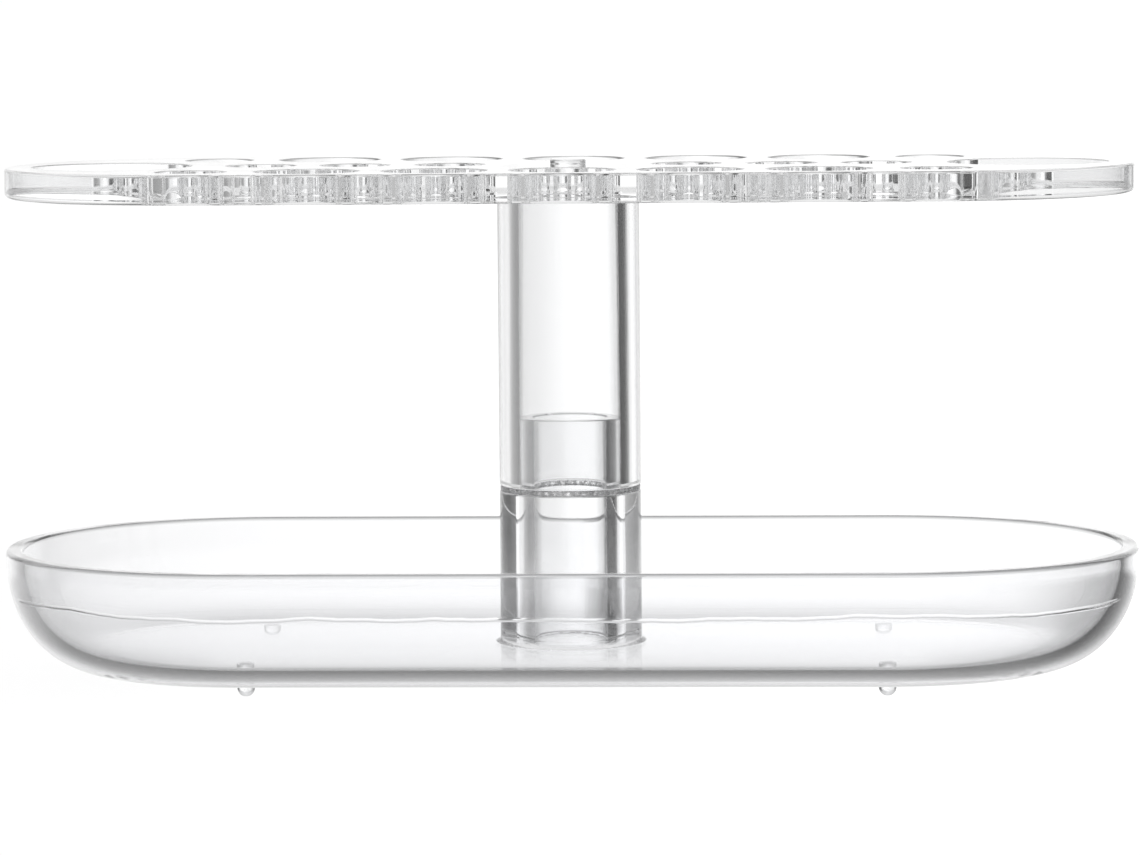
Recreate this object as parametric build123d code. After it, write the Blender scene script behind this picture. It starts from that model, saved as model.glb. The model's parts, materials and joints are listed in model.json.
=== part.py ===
from build123d import *
import math
import os

# A clear two-tier stand. A long round-ended tray rests on four small feet. A post bonded to the
# tray's floor ends in a spigot, and a tube bonded under a pierced round-ended plate drops over it,
# down to a thin glide ring, so the upper tier turns and lifts off.
# Millimetres. Origin on the table under the post, +X along the stand, +Z up.

# Overall heights above the table
FOOT_HEIGHT = 3.0
TRAY_HEIGHT = 27.2
SHOULDER_Z = 42.4
SPIGOT_TOP_Z = 59.0
PLATE_TOP_Z = 115.4

# Tray
TRAY_LENGTH = 254.0
TRAY_DEPTH = 113.0
TRAY_WALL = 3.9
TRAY_CURVE_WIDTH = 20.2       # how far the curved side reaches in towards the flat floor
TRAY_CURVE_HEIGHT = 24.2      # how high the curve climbs before the side stands upright
RIM_ROUND = 1.0

# Post, spigot and tube
COLUMN_RADIUS = 15.9
SPIGOT_RADIUS = 11.3
POST_BORE_RADIUS = 8.2
SPIGOT_EDGE_ROUND = 0.3
BORE_MOUTH_CHAMFER = 0.35
RUNNING_CLEARANCE = 0.08      # radial, spigot to tube and spigot to glide ring
TUBE_TOP_BORE_RADIUS = 11.1   # the bore narrows a little towards the plate
COLUMN_EDGE_ROUND = 0.4
POST_BOND_FILLET = 1.0        # fillet of cement round the foot of the post
TUBE_BOND_FILLET = 0.5        # and round the top of the tube

# Glide ring
RING_THICKNESS = 1.2
RING_RADIUS = 15.7
RING_EDGE_ROUND = 0.3

# Plate
PLATE_LENGTH = 252.2
PLATE_DEPTH = 89.0
PLATE_THICKNESS = 6.6
PLATE_TOP_ROUND = 0.7
PLATE_BOTTOM_ROUND = 1.3
HOLE_EDGE_ROUND = 0.4
CENTRE_PAD_RADIUS = 4.0
CENTRE_PAD_HEIGHT = 1.1
CENTRE_PAD_ROUND = 0.3

# Holes in the plate
LARGE_HOLE_RADIUS = 11.65
SMALL_HOLE_RADIUS = 7.9
END_HOLE_RADIUS = 18.0
OUTER_ROW_Y = 28.5
LARGE_PITCH = 27.95
OUTER_SMALL_X = 81.3
MIDDLE_SMALL_X = (26.4, 47.65, 68.7)
END_HOLE_X = 102.35

# Feet
FOOT_RADIUS = 1.95
FOOT_FLAT_RADIUS = 0.6
FOOT_X = 70.5
FOOT_Y = 29.0

# Heights that follow from the sizes above
TRAY_UNDERSIDE_Z = FOOT_HEIGHT
TRAY_RIM_Z = FOOT_HEIGHT + TRAY_HEIGHT
TRAY_FLOOR_Z = FOOT_HEIGHT + TRAY_WALL
RING_TOP_Z = SHOULDER_Z + RING_THICKNESS
PLATE_UNDERSIDE_Z = PLATE_TOP_Z - PLATE_THICKNESS
TUBE_BORE_RADIUS = SPIGOT_RADIUS + RUNNING_CLEARANCE


def at(radius, height):
    """A point of an upright half section."""
    return Vector(radius, 0, height)


def round_corner(centre_radius, centre_height, radius, start_angle, sweep):
    """A circular arc in the upright half section, angles counted from outwards towards up."""
    def spot(angle):
        turn = math.radians(angle)
        return at(centre_radius + radius * math.cos(turn), centre_height + radius * math.sin(turn))
    return ThreePointArc(spot(start_angle), spot(start_angle + sweep / 2), spot(start_angle + sweep))


def closed_face(edges):
    """A face bounded by the given edges and by straight lines over the gaps between them."""
    outline = []
    for edge, following in zip(edges, edges[1:] + edges[:1]):
        outline.append(edge)
        if (edge @ 1 - following @ 0).length > 1e-6:
            outline.append(Line(edge @ 1, following @ 0))
    return Face(Wire(outline))


def turned(edges):
    """A solid of revolution about +Z."""
    return revolve(closed_face(edges), Axis.Z, 360)


def tray_half_section():
    """Half of the tray's cross section, from its middle to its wall."""
    half_depth = TRAY_DEPTH / 2
    curve_start = half_depth - TRAY_CURVE_WIDTH
    curve_top = TRAY_UNDERSIDE_Z + TRAY_CURVE_HEIGHT
    inner_face = half_depth - TRAY_WALL
    rim_centre_z = TRAY_RIM_Z - RIM_ROUND
    section = Plane(origin=(curve_start, 0, curve_top), x_dir=(1, 0, 0), z_dir=(0, -1, 0))
    outer_curve = section * EllipticalCenterArc(
        (0, 0), TRAY_CURVE_WIDTH, TRAY_CURVE_HEIGHT, start_angle=270, arc_size=90)
    inner_curve = section * EllipticalCenterArc(
        (0, 0), TRAY_CURVE_WIDTH - TRAY_WALL, TRAY_CURVE_HEIGHT - TRAY_WALL, start_angle=270, arc_size=90)
    outer_rim = round_corner(half_depth - RIM_ROUND, rim_centre_z, RIM_ROUND, 0, 90)
    inner_rim = round_corner(inner_face + RIM_ROUND, rim_centre_z, RIM_ROUND, 90, 90)
    middle_bottom = at(0, TRAY_UNDERSIDE_Z)
    middle_top = at(0, TRAY_FLOOR_Z)
    outline = [
        Line(middle_bottom, outer_curve @ 0),
        outer_curve,
        Line(outer_curve @ 1, outer_rim @ 0),
        outer_rim,
        Line(outer_rim @ 1, inner_rim @ 0),
        inner_rim,
        Line(inner_rim @ 1, inner_curve @ 1),
        inner_curve,
        Line(inner_curve @ 0, middle_top),
        Line(middle_top, middle_bottom),
    ]
    return Face(Wire(outline))


def make_base_tray():
    """A shallow dish: one cross section run straight along X and turned round at each end."""
    half_section = tray_half_section()
    straight = TRAY_LENGTH - TRAY_DEPTH
    front_half = Rot(0, 0, -90) * half_section
    middle_front = extrude(front_half, amount=straight / 2, dir=(1, 0, 0), both=True)
    middle = middle_front + mirror(middle_front, about=Plane.XZ)
    round_end = revolve(Rot(0, 0, -90) * half_section, Axis.Z, 180)
    right_end = Pos(straight / 2, 0, 0) * round_end
    left_end = Pos(-straight / 2, 0, 0) * Rot(0, 0, 180) * round_end
    return middle + right_end + left_end


def make_lower_post():
    """The bonded post: bored right through, with the narrower spigot on top."""
    fillet_top = TRAY_FLOOR_Z + POST_BOND_FILLET
    chamfer = BORE_MOUTH_CHAMFER
    cement = round_corner(COLUMN_RADIUS + POST_BOND_FILLET, fillet_top, POST_BOND_FILLET, 270, -90)
    shoulder_edge = round_corner(
        COLUMN_RADIUS - COLUMN_EDGE_ROUND, SHOULDER_Z - COLUMN_EDGE_ROUND, COLUMN_EDGE_ROUND, 0, 90)
    spigot_edge = round_corner(
        SPIGOT_RADIUS - SPIGOT_EDGE_ROUND, SPIGOT_TOP_Z - SPIGOT_EDGE_ROUND, SPIGOT_EDGE_ROUND, 0, 90)
    mouth = Line(
        at(POST_BORE_RADIUS + chamfer, SPIGOT_TOP_Z), at(POST_BORE_RADIUS, SPIGOT_TOP_Z - chamfer))
    return turned([
        Line(at(POST_BORE_RADIUS, TRAY_FLOOR_Z), cement @ 0),
        cement,
        shoulder_edge,
        Line(at(SPIGOT_RADIUS, SHOULDER_Z), spigot_edge @ 0),
        spigot_edge,
        mouth,
    ])


def make_glide_ring():
    """The thin washer on the post's shoulder, which the tube turns on."""
    inner = SPIGOT_RADIUS + RUNNING_CLEARANCE
    low = SHOULDER_Z + RING_EDGE_ROUND
    high = RING_TOP_Z - RING_EDGE_ROUND
    outer = RING_RADIUS - RING_EDGE_ROUND
    return turned([
        Line(at(inner, SHOULDER_Z), at(outer, SHOULDER_Z)),
        round_corner(outer, low, RING_EDGE_ROUND, 270, 90),
        round_corner(outer, high, RING_EDGE_ROUND, 0, 90),
        Line(at(outer, RING_TOP_Z), at(inner, RING_TOP_Z)),
    ])


def make_upper_tube():
    """The tube over the spigot, with a small bonding fillet where it meets the plate."""
    fillet_bottom = PLATE_UNDERSIDE_Z - TUBE_BOND_FILLET
    lower_edge = round_corner(
        COLUMN_RADIUS - COLUMN_EDGE_ROUND, RING_TOP_Z + COLUMN_EDGE_ROUND, COLUMN_EDGE_ROUND, 270, 90)
    cement = round_corner(COLUMN_RADIUS + TUBE_BOND_FILLET, fillet_bottom, TUBE_BOND_FILLET, 180, -90)
    return turned([
        Line(at(TUBE_BORE_RADIUS, RING_TOP_Z), lower_edge @ 0),
        lower_edge,
        cement,
        Line(cement @ 1, at(TUBE_TOP_BORE_RADIUS, PLATE_UNDERSIDE_Z)),
        Line(at(TUBE_TOP_BORE_RADIUS, PLATE_UNDERSIDE_Z), at(TUBE_BORE_RADIUS, SPIGOT_TOP_Z)),
    ])


def hole_places():
    """Every hole in the plate, as its x, y and radius: two outer rows and one down the middle."""
    places = []
    for row_y in (-OUTER_ROW_Y, OUTER_ROW_Y):
        for step in range(-2, 3):
            places.append((step * LARGE_PITCH, row_y, LARGE_HOLE_RADIUS))
        for side in (-1, 1):
            places.append((side * OUTER_SMALL_X, row_y, SMALL_HOLE_RADIUS))
    for side in (-1, 1):
        for x in MIDDLE_SMALL_X:
            places.append((side * x, 0, SMALL_HOLE_RADIUS))
        places.append((side * END_HOLE_X, 0, END_HOLE_RADIUS))
    return places


def make_top_plate():
    """The solid round-ended plate with its holes and the low pad at its centre."""
    plate = extrude(
        Pos(0, 0, PLATE_UNDERSIDE_Z) * SlotOverall(PLATE_LENGTH, PLATE_DEPTH), amount=PLATE_THICKNESS)
    plate = fillet(plate.faces().sort_by(Axis.Z)[-1].edges(), PLATE_TOP_ROUND)
    plate = fillet(plate.faces().sort_by(Axis.Z)[0].edges(), PLATE_BOTTOM_ROUND)
    for x, y, radius in hole_places():
        plate -= Pos(x, y, PLATE_UNDERSIDE_Z) * Cylinder(
            radius, PLATE_THICKNESS, align=(Align.CENTER, Align.CENTER, Align.MIN))
    hole_edges = plate.edges().filter_by(GeomType.CIRCLE).filter_by(lambda edge: edge.is_closed)
    plate = fillet(hole_edges, HOLE_EDGE_ROUND)
    pad_edge_radius = CENTRE_PAD_RADIUS - CENTRE_PAD_ROUND
    pad_top = PLATE_TOP_Z + CENTRE_PAD_HEIGHT
    pad = turned([
        Line(at(0, PLATE_TOP_Z - CENTRE_PAD_ROUND), at(CENTRE_PAD_RADIUS, PLATE_TOP_Z - CENTRE_PAD_ROUND)),
        round_corner(pad_edge_radius, pad_top - CENTRE_PAD_ROUND, CENTRE_PAD_ROUND, 0, 90),
        Line(at(pad_edge_radius, pad_top), at(0, pad_top)),
    ])
    return plate + pad


def make_foot():
    """A short stub with a domed end and a small flat where it touches the table."""
    reach = math.sqrt(FOOT_RADIUS ** 2 - FOOT_FLAT_RADIUS ** 2)
    flat_angle = math.degrees(math.atan2(-reach, FOOT_FLAT_RADIUS))
    dome = round_corner(0, reach, FOOT_RADIUS, flat_angle, -flat_angle)
    return turned([
        Line(at(0, 0), dome @ 0),
        dome,
        Line(at(FOOT_RADIUS, FOOT_HEIGHT), at(0, FOOT_HEIGHT)),
    ])


def make_nodes():
    """Every piece, by name."""
    nodes = {
        "base_tray": make_base_tray(),
        "lower_post": make_lower_post(),
        "glide_ring": make_glide_ring(),
        "upper_tube": make_upper_tube(),
        "top_plate": make_top_plate(),
    }
    for side, x in (("left", -FOOT_X), ("right", FOOT_X)):
        for end, y in (("front", -FOOT_Y), ("back", FOOT_Y)):
            nodes[f"foot_{end}_{side}"] = Pos(x, y, 0) * make_foot()
    return nodes


os.makedirs("parts", exist_ok=True)
for name, solid in make_nodes().items():
    export_step(solid, f"parts/{name}.step")
    box = solid.bounding_box()
    print(name, "volume", round(solid.volume, 2), "low", box.min, "high", box.max)
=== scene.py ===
import json
import math

import bmesh
import bpy
from mathutils import Matrix, Vector


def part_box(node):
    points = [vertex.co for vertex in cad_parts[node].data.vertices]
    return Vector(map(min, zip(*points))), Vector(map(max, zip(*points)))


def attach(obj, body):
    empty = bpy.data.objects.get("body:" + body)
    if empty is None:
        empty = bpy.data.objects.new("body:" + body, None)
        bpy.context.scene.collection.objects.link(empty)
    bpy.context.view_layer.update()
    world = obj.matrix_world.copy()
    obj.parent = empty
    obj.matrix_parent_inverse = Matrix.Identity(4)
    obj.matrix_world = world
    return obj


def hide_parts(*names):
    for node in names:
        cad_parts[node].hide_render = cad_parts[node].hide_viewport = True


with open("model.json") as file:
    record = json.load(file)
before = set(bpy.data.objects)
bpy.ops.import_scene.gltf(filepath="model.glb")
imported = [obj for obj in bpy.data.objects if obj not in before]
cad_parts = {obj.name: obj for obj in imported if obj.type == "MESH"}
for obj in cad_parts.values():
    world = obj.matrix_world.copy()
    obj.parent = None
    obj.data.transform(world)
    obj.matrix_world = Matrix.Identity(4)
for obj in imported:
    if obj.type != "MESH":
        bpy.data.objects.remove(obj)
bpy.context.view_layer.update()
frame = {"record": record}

MM = 0.001

# Sizes that the CAD boxes don't give, in metres
TRAY_WALL = 3.9 * MM
TRAY_CURVE_WIDTH = 20.2 * MM
TRAY_CURVE_HEIGHT = 24.2 * MM
RIM_ROUND = 1.0 * MM
COLUMN_RADIUS = 15.9 * MM
SPIGOT_RADIUS = 11.3 * MM
RUNNING_CLEARANCE = 0.08 * MM
POST_BORE_RADIUS = 8.2 * MM
SPIGOT_EDGE_ROUND = 0.3 * MM
BORE_MOUTH_CHAMFER = 0.35 * MM
TUBE_TOP_BORE_RADIUS = 11.1 * MM
COLUMN_EDGE_ROUND = 0.4 * MM
RING_EDGE_ROUND = 0.3 * MM
PLATE_TOP_ROUND = 0.7 * MM
PLATE_BOTTOM_ROUND = 1.3 * MM
HOLE_EDGE_ROUND = 0.4 * MM
CENTRE_PAD_RADIUS = 4.0 * MM
CENTRE_PAD_HEIGHT = 1.1 * MM
CENTRE_PAD_ROUND = 0.3 * MM
FOOT_FLAT_RADIUS = 0.6 * MM
AIR_GAP = 0.03 * MM               # where two pieces touch without being bonded

CLEAR, BOND = 0, 1                # material slots: the clear plastic, and faces cemented to another piece

ROUND_SEGMENTS = 256              # round the column
END_SEGMENTS = 96                 # round each half-circle end of the tray and the plate
HOLE_SEGMENTS = 112
PAD_SEGMENTS = 96
FOOT_SEGMENTS = 64
TRAY_CURVE_STEPS = 40
SHARP_ANGLE = 35                  # degrees between two faces, past which the edge is shaded as a corner


# ---------------------------------------------------------------- outlines

def arc(centre, radii, start, sweep, steps):
    """Points of an elliptical arc in section, angles in degrees from outwards towards up."""
    points = []
    for step in range(steps + 1):
        angle = math.radians(start + sweep * step / steps)
        points.append((centre[0] + radii[0] * math.cos(angle), centre[1] + radii[1] * math.sin(angle)))
    return points


def round_arc(centre, radius, start, sweep, steps=8):
    return arc(centre, (radius, radius), start, sweep, steps)


def circle_points(radius, segments, centre=(0, 0)):
    """Points of a circle in plan."""
    turns = [2 * math.pi * step / segments for step in range(segments)]
    return [(centre[0] + radius * math.cos(t), centre[1] + radius * math.sin(t)) for t in turns]


def stadium_points(radius, straight, straight_steps=36):
    """Points of a round-ended outline in plan, at a distance from a straight middle line."""
    points = []
    for side in (1, -1):
        for step in range(straight_steps):
            points.append((side * straight * (step / straight_steps - 0.5), -side * radius))
        for step in range(END_SEGMENTS):
            turn = math.pi * (step / END_SEGMENTS - 0.5)
            points.append((side * (straight / 2 + radius * math.cos(turn)), side * radius * math.sin(turn)))
    return points


# ---------------------------------------------------------------- mesh building

def add_loop(bm, plan, height):
    return [bm.verts.new((x, y, height)) for x, y in plan]


def bridge(bm, lower, upper, slot=CLEAR):
    """Quads between two loops with the same number of points."""
    count = len(lower)
    for i in range(count):
        j = (i + 1) % count
        bm.faces.new((lower[i], lower[j], upper[j], upper[i])).material_index = slot


def bridge_all(bm, loops, slots=None):
    for i, (lower, upper) in enumerate(zip(loops, loops[1:])):
        bridge(bm, lower, upper, slots[i] if slots else CLEAR)


def loop_edges(bm, loop):
    edges = []
    for a, b in zip(loop, loop[1:] + loop[:1]):
        edges.append(bm.edges.get((a, b)) or bm.edges.new((a, b)))
    return edges


def fill_flat(bm, loops, up, slot=CLEAR):
    """A flat face between an outer loop and the holes inside it."""
    edges = [edge for loop in loops for edge in loop_edges(bm, loop)]
    made = bmesh.ops.triangle_fill(bm, edges=edges, use_beauty=True, normal=(0, 0, 1 if up else -1))
    for face in made["geom"]:
        if isinstance(face, bmesh.types.BMFace):
            face.material_index = slot


def cap(bm, loop, slot=CLEAR):
    bm.faces.new(loop).material_index = slot


def finish_piece(bm, name, body, nodes, material):
    """Turns the mesh into a smooth-shaded piece that stands for its CAD node."""
    bmesh.ops.recalc_face_normals(bm, faces=bm.faces)
    mesh = bpy.data.meshes.new(name)
    bm.to_mesh(mesh)
    bm.free()
    mesh.shade_smooth()
    mesh.set_sharp_from_angle(angle=math.radians(SHARP_ANGLE))
    piece = bpy.data.objects.new(name, mesh)
    bpy.context.scene.collection.objects.link(piece)
    mesh.materials.append(material)
    mesh.materials.append(bond_material)
    smooth = piece.modifiers.new("even shading", "WEIGHTED_NORMAL")
    smooth.weight = 100
    smooth.keep_sharp = True
    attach(piece, body)
    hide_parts(*nodes)
    return piece


def lathe(bm, profile, slots=None, centre=(0, 0), segments=ROUND_SEGMENTS, closed=False):
    """Turns a section about an upright axis, and caps its ends unless the section is closed."""
    loops = [add_loop(bm, circle_points(radius, segments, centre), height) for radius, height in profile]
    bridge_all(bm, loops, slots)
    if closed:
        bridge(bm, loops[-1], loops[0], slots[-1] if slots else CLEAR)
    else:
        cap(bm, loops[0])
        cap(bm, loops[-1])


def section_slots(profile, bonded):
    """A slot for each stretch of a section, bonded where both ends meet the test."""
    slots = []
    for here, there in zip(profile, profile[1:] + profile[:1]):
        slots.append(BOND if bonded(here) and bonded(there) else CLEAR)
    return slots


# ---------------------------------------------------------------- places, from the CAD boxes

def lowest(node):
    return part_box(node)[0]


def highest(node):
    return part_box(node)[1]


TRAY_LOW, TRAY_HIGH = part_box("base_tray")
PLATE_HIGH = highest("top_plate")
FLOOR_Z = TRAY_LOW.z + TRAY_WALL
SHOULDER_Z = lowest("glide_ring").z
RING_TOP_Z = highest("glide_ring").z
RING_RADIUS = highest("glide_ring").x
SPIGOT_TOP_Z = highest("lower_post").z
PLATE_UNDERSIDE_Z = highest("upper_tube").z
PLATE_TOP_Z = PLATE_HIGH.z - CENTRE_PAD_HEIGHT
POST_FLARE_RADIUS = highest("lower_post").x
TUBE_FLARE_RADIUS = highest("upper_tube").x
FEET = ["foot_front_left", "foot_front_right", "foot_back_left", "foot_back_right"]


def plate_holes():
    """Every hole's centre and radius, from the record's hole patterns."""
    holes = []
    for mount in frame["record"]["mounts"]:
        if mount["kind"] != "bolt_pattern":
            continue
        dims = mount["dims"]
        half_x = dims.get("spacing_x_mm", 0) * MM / 2
        half_y = dims.get("spacing_y_mm", 0) * MM / 2
        for x in sorted({-half_x, half_x}):
            for y in sorted({-half_y, half_y}):
                holes.append(((x, y), dims["hole_r_mm"] * MM))
    return holes


# ---------------------------------------------------------------- shader nodes

def arithmetic(nodes, links, operation, first, second=0.0, third=0.0, limited=False):
    """One step of arithmetic on up to three values, each a number or another node's output."""
    node = nodes.new("ShaderNodeMath")
    node.operation = operation
    node.use_clamp = limited
    for socket, value in zip(node.inputs, (first, second, third)):
        if isinstance(value, (int, float)):
            socket.default_value = value
        else:
            links.new(value, socket)
    return node.outputs[0]


def smooth_step(nodes, links, value, start, end):
    """0 before the start, 1 past the end, and a smooth change between them."""
    step = nodes.new("ShaderNodeMapRange")
    step.interpolation_type = "SMOOTHSTEP"
    links.new(value, step.inputs["Value"])
    step.inputs["From Min"].default_value = start
    step.inputs["From Max"].default_value = end
    return step.outputs[0]


def mixed(nodes, links, factor, first, second):
    """Goes from the first value to the second, a number or an output, as the factor goes from 0 to 1."""
    mix = nodes.new("ShaderNodeMix")
    links.new(factor, mix.inputs["Factor"])
    links.new(first, mix.inputs["A"])
    if isinstance(second, (int, float)):
        mix.inputs["B"].default_value = second
    else:
        links.new(second, mix.inputs["B"])
    return mix.outputs["Result"]


def add_noise(nodes, links, vector, size, detail=1.0):
    noise = nodes.new("ShaderNodeTexNoise")
    noise.inputs["Scale"].default_value = 1 / size
    noise.inputs["Detail"].default_value = detail
    links.new(vector, noise.inputs["Vector"])
    return noise.outputs["Fac"]


def add_bump(nodes, links, height, distance, below=None):
    bump = nodes.new("ShaderNodeBump")
    bump.inputs["Strength"].default_value = 1.0
    bump.inputs["Distance"].default_value = distance
    links.new(height, bump.inputs["Height"])
    if below is not None:
        links.new(below, bump.inputs["Normal"])
    return bump.outputs["Normal"]


def stretched(nodes, links, place, factors, turn=(0, 0, 0)):
    """The same place with each axis scaled, to draw a pattern out along one of them."""
    mapping = nodes.new("ShaderNodeMapping")
    mapping.inputs["Scale"].default_value = factors
    mapping.inputs["Rotation"].default_value = turn
    links.new(place, mapping.inputs["Vector"])
    return mapping.outputs[0]


# ---------------------------------------------------------------- materials

def new_material(name):
    material = bpy.data.materials.new(name)
    material.use_nodes = True
    nodes = material.node_tree.nodes
    nodes.clear()
    output = nodes.new("ShaderNodeOutputMaterial")
    return material, nodes, material.node_tree.links, output


def make_bond_material():
    """Two faces cemented together: no surface between them but a cloudy, patchy film."""
    material, nodes, links, output = new_material("cemented_face")
    place = nodes.new("ShaderNodeTexCoord").outputs["Object"]
    patches = add_noise(nodes, links, place, 2 * MM, 3.0)
    clear = nodes.new("ShaderNodeBsdfTransparent")
    cloudy = nodes.new("ShaderNodeBsdfTranslucent")
    cloudy.inputs["Color"].default_value = (0.95, 0.95, 0.95, 1)
    film = nodes.new("ShaderNodeMixShader")
    share = nodes.new("ShaderNodeMapRange")
    links.new(patches, share.inputs["Value"])
    share.inputs["From Min"].default_value = 0.35
    share.inputs["From Max"].default_value = 0.65
    share.inputs["To Min"].default_value = 0.05
    share.inputs["To Max"].default_value = 0.35
    links.new(share.outputs[0], film.inputs[0])
    links.new(clear.outputs[0], film.inputs[1])
    links.new(cloudy.outputs[0], film.inputs[2])
    links.new(film.outputs[0], output.inputs["Surface"])
    return material


def add_specks(nodes, links, place, spacing, radius):
    """1 inside sparse round dots and 0 between them."""
    cells = nodes.new("ShaderNodeTexVoronoi")
    cells.inputs["Scale"].default_value = 1 / spacing
    links.new(place, cells.inputs["Vector"])
    return smooth_step(nodes, links, cells.outputs["Distance"], radius / spacing, 0.5 * radius / spacing)


UPRIGHT = (1, 1, 0.03)            # streaks drawn out up and down, or all the way round
ROUND = (0.06, 0.06, 1)
PLASTIC_IOR = 1.49
WAVE_SIZE = 30 * MM               # slow waves left by the mould
WAVE_HEIGHT = 0.02 * MM
STREAK_WIDTH = 0.9 * MM
SCRATCH_WIDTH = 0.6 * MM
SCRATCH_DEPTH = 0.008 * MM
SPECK_SPACING = 7 * MM
SPECK_RADIUS = 0.2 * MM
SPECK_ROUGHNESS = 0.3


def make_clear_plastic(name, streak_height, run=UPRIGHT, haze=0.0, tint=(0.985, 0.987, 0.99)):
    """Polished clear plastic: faint mould waves, polishing streaks, hairline scratches and frosted specks."""
    material, nodes, links, output = new_material(name)
    shader = nodes.new("ShaderNodeBsdfPrincipled")
    shader.inputs["Base Color"].default_value = (*tint, 1)
    shader.inputs["Transmission Weight"].default_value = 1.0
    shader.inputs["IOR"].default_value = PLASTIC_IOR
    place = nodes.new("ShaderNodeTexCoord").outputs["Object"]
    waves = add_noise(nodes, links, place, WAVE_SIZE)
    normal = add_bump(nodes, links, waves, WAVE_HEIGHT)
    streaks = add_noise(nodes, links, stretched(nodes, links, place, run), STREAK_WIDTH, 2.0)
    normal = add_bump(nodes, links, streaks, streak_height, normal)
    slanted = stretched(nodes, links, place, (1, 1, 0.02), (0.5, 0.4, 0))
    scratches = smooth_step(nodes, links, add_noise(nodes, links, slanted, SCRATCH_WIDTH), 0.8, 0.84)
    links.new(add_bump(nodes, links, scratches, SCRATCH_DEPTH, normal), shader.inputs["Normal"])
    specks = add_specks(nodes, links, place, SPECK_SPACING, SPECK_RADIUS)
    roughness = arithmetic(nodes, links, "MULTIPLY_ADD", specks, SPECK_ROUGHNESS, haze)
    links.new(roughness, shader.inputs["Roughness"])
    links.new(shader.outputs[0], output.inputs["Surface"])
    return material


def make_milky_plastic():
    """The glide ring: the same plastic left rough from cutting, with white flecks where it is chafed."""
    material = make_clear_plastic("clear_ring", 0.004 * MM, haze=0.12, tint=(0.98, 0.98, 0.985))
    nodes, links = material.node_tree.nodes, material.node_tree.links
    frost = nodes.new("ShaderNodeBsdfTranslucent")
    frost.inputs["Color"].default_value = (0.97, 0.97, 0.98, 1)
    chalk = nodes.new("ShaderNodeBsdfDiffuse")
    chalk.inputs["Color"].default_value = (0.97, 0.97, 0.98, 1)
    place = nodes.new("ShaderNodeTexCoord").outputs["Object"]
    patches = add_noise(nodes, links, place, 0.9 * MM, 3.0)
    white = nodes.new("ShaderNodeMixShader")
    white.inputs[0].default_value = 0.5
    links.new(frost.outputs[0], white.inputs[1])
    links.new(chalk.outputs[0], white.inputs[2])
    mix = nodes.new("ShaderNodeMixShader")
    links.new(smooth_step(nodes, links, patches, 0.32, 0.7), mix.inputs[0])
    links.new(nodes["Principled BSDF"].outputs[0], mix.inputs[1])
    links.new(white.outputs[0], mix.inputs[2])
    links.new(mix.outputs[0], nodes["Material Output"].inputs["Surface"])
    return material


def add_flow_line(material, height, thickness, wander, depth):
    """A wandering shallow groove round the front of the tray's side, left by the moulding."""
    nodes, links = material.node_tree.nodes, material.node_tree.links
    shader = nodes["Principled BSDF"]
    below = shader.inputs["Normal"].links[0].from_socket
    place = nodes.new("ShaderNodeTexCoord").outputs["Object"]
    split = nodes.new("ShaderNodeSeparateXYZ")
    links.new(place, split.inputs[0])
    along = nodes.new("ShaderNodeCombineXYZ")
    links.new(split.outputs["X"], along.inputs["X"])
    slow = add_noise(nodes, links, along.outputs[0], 45 * MM, 4.0)
    middle = arithmetic(nodes, links, "MULTIPLY_ADD", slow, wander, height - wander / 2)
    offset = arithmetic(nodes, links, "SUBTRACT", split.outputs["Z"], middle)
    distance = arithmetic(nodes, links, "ABSOLUTE", offset)
    line = smooth_step(nodes, links, distance, thickness, 0.0)
    front = smooth_step(nodes, links, split.outputs["Y"], -20 * MM, -30 * MM)
    groove = arithmetic(nodes, links, "MULTIPLY", line, front)
    shape = arithmetic(nodes, links, "SUBTRACT", 1.0, groove)
    links.new(add_bump(nodes, links, shape, depth, below), shader.inputs["Normal"])


def add_cement_ripples(material, height, reach=1.4 * MM, depth=0.12 * MM):
    """Lumps and runs where cement has squeezed out along a joint at a height."""
    nodes, links = material.node_tree.nodes, material.node_tree.links
    shader = nodes["Principled BSDF"]
    below = shader.inputs["Normal"].links[0].from_socket
    place = nodes.new("ShaderNodeTexCoord").outputs["Object"]
    split = nodes.new("ShaderNodeSeparateXYZ")
    links.new(place, split.inputs[0])
    lumps = add_noise(nodes, links, place, 2.2 * MM, 3.0)
    offset = arithmetic(nodes, links, "SUBTRACT", split.outputs["Z"], height)
    distance = arithmetic(nodes, links, "ABSOLUTE", offset)
    near = smooth_step(nodes, links, distance, reach, 0.6 * reach)
    shape = arithmetic(nodes, links, "MULTIPLY", lumps, near)
    links.new(add_bump(nodes, links, shape, depth, below), shader.inputs["Normal"])


bond_material = make_bond_material()


# ---------------------------------------------------------------- pieces

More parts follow.
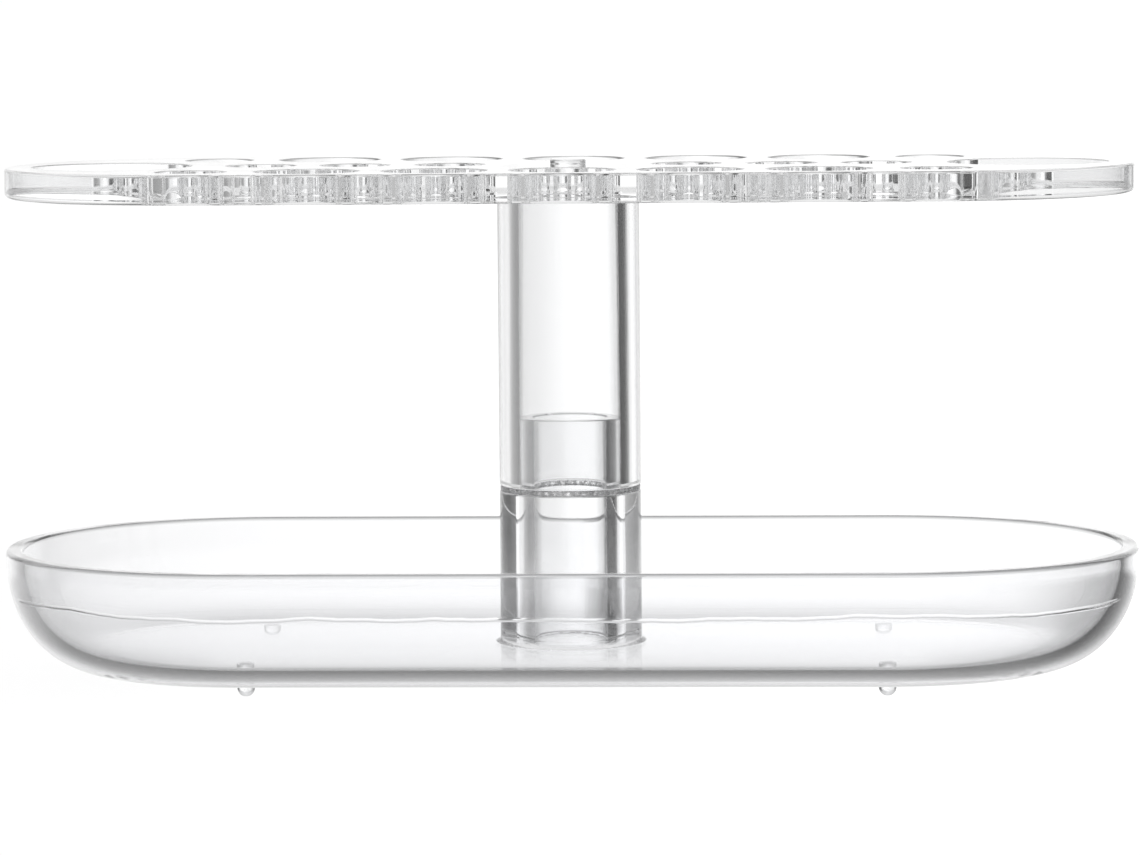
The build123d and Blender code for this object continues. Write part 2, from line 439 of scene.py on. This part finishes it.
def build_tray():
    bm = bmesh.new()
    half_depth = TRAY_HIGH.y
    straight = 2 * (TRAY_HIGH.x - TRAY_HIGH.y)
    centre = (half_depth - TRAY_CURVE_WIDTH, TRAY_LOW.z + TRAY_CURVE_HEIGHT)
    rim_z = TRAY_HIGH.z - RIM_ROUND
    inner_radii = (TRAY_CURVE_WIDTH - TRAY_WALL, TRAY_CURVE_HEIGHT - TRAY_WALL)
    profile = arc(centre, (TRAY_CURVE_WIDTH, TRAY_CURVE_HEIGHT), -90, 90, TRAY_CURVE_STEPS)
    profile += round_arc((half_depth - RIM_ROUND, rim_z), RIM_ROUND, 0, 90)
    profile += round_arc((half_depth - TRAY_WALL + RIM_ROUND, rim_z), RIM_ROUND, 90, 90)
    profile += arc(centre, inner_radii, 0, -90, TRAY_CURVE_STEPS)
    loops = [add_loop(bm, stadium_points(radius, straight), height) for radius, height in profile]
    bridge_all(bm, loops)

    fill_flat(bm, [loops[0]], up=False)
    fill_flat(bm, [loops[-1]], up=True)
    material = make_clear_plastic("clear_tray", 0.0003 * MM, tint=(0.97, 0.972, 0.98))
    add_flow_line(material, height=20.3 * MM, thickness=0.5 * MM, wander=5.0 * MM, depth=0.18 * MM)
    return finish_piece(bm, "tray", "base", ["base_tray"], material)


def build_post():
    bm = bmesh.new()
    flare = POST_FLARE_RADIUS - COLUMN_RADIUS
    chamfer = BORE_MOUTH_CHAMFER
    edge_centre = (COLUMN_RADIUS - COLUMN_EDGE_ROUND, SHOULDER_Z - COLUMN_EDGE_ROUND)
    top_centre = (SPIGOT_RADIUS - SPIGOT_EDGE_ROUND, SPIGOT_TOP_Z - SPIGOT_EDGE_ROUND)
    foot_z = FLOOR_Z + AIR_GAP
    profile = [(POST_BORE_RADIUS, foot_z)]
    profile += round_arc((POST_FLARE_RADIUS, foot_z + flare), flare, -90, -90)
    profile += round_arc(edge_centre, COLUMN_EDGE_ROUND, 0, 90)
    profile += [(SPIGOT_RADIUS, SHOULDER_Z)]
    profile += round_arc(top_centre, SPIGOT_EDGE_ROUND, 0, 90, 4)
    profile += [(POST_BORE_RADIUS + chamfer, SPIGOT_TOP_Z), (POST_BORE_RADIUS, SPIGOT_TOP_Z - chamfer)]
    lathe(bm, profile, closed=True)
    material = make_clear_plastic("clear_post", 0.012 * MM)
    add_cement_ripples(material, FLOOR_Z)
    return finish_piece(bm, "post", "base", ["lower_post"], material)


def build_ring():
    bm = bmesh.new()
    inner = SPIGOT_RADIUS + RUNNING_CLEARANCE
    low = SHOULDER_Z + AIR_GAP
    high = RING_TOP_Z - AIR_GAP
    outer = RING_RADIUS - RING_EDGE_ROUND
    profile = [(inner, low)]
    profile += round_arc((outer, low + RING_EDGE_ROUND), RING_EDGE_ROUND, -90, 90, 5)
    profile += round_arc((outer, high - RING_EDGE_ROUND), RING_EDGE_ROUND, 0, 90, 5)
    profile += [(inner, high)]
    lathe(bm, profile, closed=True)
    return finish_piece(bm, "ring_washer", "ring", ["glide_ring"], make_milky_plastic())


def build_tube():
    bm = bmesh.new()
    flare = TUBE_FLARE_RADIUS - COLUMN_RADIUS
    edge_centre = (COLUMN_RADIUS - COLUMN_EDGE_ROUND, RING_TOP_Z + COLUMN_EDGE_ROUND)
    bore = SPIGOT_RADIUS + RUNNING_CLEARANCE
    profile = [(bore, RING_TOP_Z)]
    profile += round_arc(edge_centre, COLUMN_EDGE_ROUND, -90, 90)
    profile += round_arc((TUBE_FLARE_RADIUS, PLATE_UNDERSIDE_Z - flare), flare, 180, -90)
    profile += [(TUBE_TOP_BORE_RADIUS, PLATE_UNDERSIDE_Z), (bore, SPIGOT_TOP_Z)]
    slots = section_slots(profile, lambda point: abs(point[1] - PLATE_UNDERSIDE_Z) < 1e-7)
    lathe(bm, profile, slots, closed=True)
    material = make_clear_plastic("clear_tube", 0.012 * MM)
    add_cement_ripples(material, PLATE_UNDERSIDE_Z)
    return finish_piece(bm, "tube", "upper_tier", ["upper_tube"], material)


def build_plate():
    bm = bmesh.new()
    half_depth = PLATE_HIGH.y
    straight = 2 * (PLATE_HIGH.x - PLATE_HIGH.y)
    low, high = PLATE_UNDERSIDE_Z, PLATE_TOP_Z
    bottom_centre = (half_depth - PLATE_BOTTOM_ROUND, low + PLATE_BOTTOM_ROUND)
    top_centre = (half_depth - PLATE_TOP_ROUND, high - PLATE_TOP_ROUND)
    profile = round_arc(bottom_centre, PLATE_BOTTOM_ROUND, -90, 90)
    profile += round_arc(top_centre, PLATE_TOP_ROUND, 0, 90)
    outline = [add_loop(bm, stadium_points(radius, straight), height) for radius, height in profile]
    bridge_all(bm, outline)

    lower_rims, upper_rims = [outline[0]], [outline[-1]]
    for centre, radius in plate_holes():
        edge = HOLE_EDGE_ROUND
        section = round_arc((radius + edge, low + edge), edge, -90, -90, 5)
        section += round_arc((radius + edge, high - edge), edge, 180, -90, 5)
        loops = [add_loop(bm, circle_points(r, HOLE_SEGMENTS, centre), z) for r, z in section]
        bridge_all(bm, loops)
        lower_rims.append(loops[0])
        upper_rims.append(loops[-1])

    pad_top = high + CENTRE_PAD_HEIGHT
    pad_centre = (CENTRE_PAD_RADIUS - CENTRE_PAD_ROUND, pad_top - CENTRE_PAD_ROUND)
    pad = [(CENTRE_PAD_RADIUS, high)]
    pad += round_arc(pad_centre, CENTRE_PAD_ROUND, 0, 90)
    pad_loops = [add_loop(bm, circle_points(r, PAD_SEGMENTS), z) for r, z in pad]
    bridge_all(bm, pad_loops)
    cap(bm, pad_loops[-1])
    fill_flat(bm, [*upper_rims, pad_loops[0]], up=True)

    tube_rim = add_loop(bm, circle_points(TUBE_FLARE_RADIUS, ROUND_SEGMENTS), low)
    bore_rim = add_loop(bm, circle_points(TUBE_TOP_BORE_RADIUS, ROUND_SEGMENTS), low)
    fill_flat(bm, [*lower_rims, tube_rim], up=False)
    bridge(bm, tube_rim, bore_rim, BOND)
    cap(bm, bore_rim)
    material = make_clear_plastic("clear_plate", 0.002 * MM, run=ROUND)
    return finish_piece(bm, "plate", "upper_tier", ["top_plate"], material)


def build_foot(node, material):
    low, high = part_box(node)
    radius = (high.x - low.x) / 2
    centre = ((low.x + high.x) / 2, (low.y + high.y) / 2)
    reach = math.sqrt(radius ** 2 - FOOT_FLAT_RADIUS ** 2)
    flat_angle = math.degrees(math.atan2(-reach, FOOT_FLAT_RADIUS))
    profile = round_arc((0, low.z + reach), radius, flat_angle, -flat_angle, 16)
    profile += [(radius, high.z - AIR_GAP)]
    bm = bmesh.new()
    loops = [add_loop(bm, circle_points(r, FOOT_SEGMENTS, centre), z) for r, z in profile]
    bridge_all(bm, loops)
    cap(bm, loops[0])
    cap(bm, loops[-1])
    return finish_piece(bm, node.replace("foot", "bumper"), "base", [node], material)


# ---------------------------------------------------------------- studio

def level_by_angle(nodes, links, angle, limit, stops):
    """A brightness for each angle between -limit and limit degrees, in straight runs between the stops."""
    share = arithmetic(nodes, links, "MULTIPLY_ADD", angle, 90 / math.pi / limit, 0.5)
    ramp = nodes.new("ShaderNodeValToRGB")
    ramp.color_ramp.interpolation = "LINEAR"
    elements = ramp.color_ramp.elements
    while len(elements) < len(stops):
        elements.new(0.5)
    for element, (degrees, level) in zip(elements, stops):
        element.position = 0.5 + degrees / (2 * limit)
        shown = level / BRIGHTEST
        element.color = (shown, shown, shown, 1)
    links.new(share, ramp.inputs[0])
    return arithmetic(nodes, links, "MULTIPLY", ramp.outputs["Color"], BRIGHTEST)


BRIGHTEST = 1.5
# Level by degrees from straight behind the object towards +X: level with the plate and column, and lower down
LEVEL_ROUND_ABOUT = [
    (-180, 0.5), (-125, 0.5), (-90, 0.35), (-57, 0.27), (-46, 0.38), (-36, 0.6), (-30, 0.9), (-23, 1.0),
    (-12, 1.0), (-8, 1.05), (-3, 1.18), (4, 1.25), (14, 1.25), (22, 1.0), (29, 0.9), (33, 0.5),
    (37, 0.15), (46, 0.02), (90, 0.02), (130, 0.45), (180, 0.5)]
LEVEL_LOWER_DOWN = [
    (-180, 0.9), (-125, 0.85), (-90, 0.7), (-70, 0.4), (-57, 0.4), (-30, 0.6), (-18, 0.82), (-12, 0.97),
    (-9, 1.06), (-3, 1.16), (1, 1.2), (4, 1.12), (8, 0.75), (16, 0.55), (25, 0.3), (38, 0.1), (55, 0.02),
    (68, 0.02), (90, 0.6), (130, 0.8), (180, 0.9)]
# Share of that light by degrees above the horizon
SHARE_BELOW = [
    (-90, 0.9), (-80, 0.8), (-72, 0.3), (-58, 0.2), (-45, 0.32), (-30, 0.5), (-20, 0.76), (-15, 0.84),
    (-12, 0.95), (-10.4, 1.0), (90, 1.0)]
CEILING = 0.85
STEEP_BLEND = (-30, -60)          # degrees between which the light stops changing round the object
LEVEL_BLEND = (-9.8, -7.5)        # from the lower table to the level one
CEILING_BLEND = (4, 20)           # from the level table to the ceiling
FLOOR_SHARE = 0.1                 # how much of the floor is white and how much lets light through
FLOOR_HALF_SIZE = 40.0


def between(nodes, links, angle, degrees):
    """0 to 1 as an angle goes between two values in degrees."""
    return smooth_step(nodes, links, angle, math.radians(degrees[0]), math.radians(degrees[1]))


def make_world():
    """A bright backdrop behind the object, soft dark cards beside it and a pale ceiling."""
    world = bpy.data.worlds.new("studio")
    world.use_nodes = True
    nodes, links = world.node_tree.nodes, world.node_tree.links
    background = nodes["Background"]
    background.inputs["Color"].default_value = (1, 1, 1, 1)
    place = nodes.new("ShaderNodeTexCoord")
    split = nodes.new("ShaderNodeSeparateXYZ")
    links.new(place.outputs["Generated"], split.inputs[0])
    azimuth = arithmetic(nodes, links, "ARCTAN2", split.outputs["X"], split.outputs["Y"])
    elevation = arithmetic(nodes, links, "ARCSINE", split.outputs["Z"])
    level = level_by_angle(nodes, links, azimuth, 180, LEVEL_ROUND_ABOUT)
    lower_level = level_by_angle(nodes, links, azimuth, 180, LEVEL_LOWER_DOWN)
    share = level_by_angle(nodes, links, elevation, 90, SHARE_BELOW)
    steep = between(nodes, links, elevation, STEEP_BLEND)
    lower_level = arithmetic(nodes, links, "MULTIPLY", mixed(nodes, links, steep, lower_level, 1.0), share)
    near_level = between(nodes, links, elevation, LEVEL_BLEND)
    lower_half = mixed(nodes, links, near_level, lower_level, level)
    high = between(nodes, links, elevation, CEILING_BLEND)
    links.new(mixed(nodes, links, high, lower_half, CEILING), background.inputs["Strength"])
    bpy.context.scene.world = world


def make_floor():
    """A wide, thin, pale table top that lets most of the light under it through."""
    half = FLOOR_HALF_SIZE
    mesh = bpy.data.meshes.new("studio_floor")
    corners = [(-half, -half, 0), (half, -half, 0), (half, half, 0), (-half, half, 0)]
    mesh.from_pydata(corners, [], [(0, 1, 2, 3)])
    floor = bpy.data.objects.new("studio_floor", mesh)
    bpy.context.scene.collection.objects.link(floor)
    material, nodes, links, output = new_material("pale_table")
    clear = nodes.new("ShaderNodeBsdfTransparent")
    white = nodes.new("ShaderNodeBsdfDiffuse")
    white.inputs["Color"].default_value = (0.9, 0.9, 0.9, 1)
    mix = nodes.new("ShaderNodeMixShader")
    mix.inputs[0].default_value = FLOOR_SHARE
    links.new(clear.outputs[0], mix.inputs[1])
    links.new(white.outputs[0], mix.inputs[2])
    links.new(mix.outputs[0], output.inputs["Surface"])
    mesh.materials.append(material)


def make_render_settings():
    """Clear plastic needs many bounces, and the pale studio is shown at its own values."""
    scene = bpy.context.scene
    scene.view_settings.view_transform = "Standard"
    scene.cycles.max_bounces = 64
    scene.cycles.transmission_bounces = 64
    scene.cycles.glossy_bounces = 64
    scene.cycles.transparent_max_bounces = 32


def make_camera():
    """A long lens, a little above the object and slightly to its right."""
    distance, aim_height = 1.1515, 0.0563
    azimuth, elevation, roll = (math.radians(angle) for angle in (2.629, 5.53, -0.455))
    data = bpy.data.cameras.new("camera")
    data.sensor_width = 36.0
    data.lens = 162.2
    data.clip_end = 100
    camera = bpy.data.objects.new("camera", data)
    bpy.context.scene.collection.objects.link(camera)
    level = math.cos(elevation)
    back = Vector((math.sin(azimuth) * level, -math.cos(azimuth) * level, math.sin(elevation)))
    right = Vector((math.cos(azimuth), math.sin(azimuth), 0))
    up = back.cross(right)
    tilted_right = right * math.cos(roll) + up * math.sin(roll)
    tilted_up = up * math.cos(roll) - right * math.sin(roll)
    axes = Matrix((tilted_right, tilted_up, back)).transposed().to_4x4()
    camera.matrix_world = Matrix.Translation(Vector((0, 0, aim_height)) + back * distance) @ axes
    bpy.context.scene.camera = camera


build_tray()
build_post()
build_ring()
build_tube()
build_plate()
foot_material = make_clear_plastic("clear_feet", 0.001 * MM)
for foot_node in FEET:
    build_foot(foot_node, foot_material)
make_floor()
make_world()
make_camera()
make_render_settings()
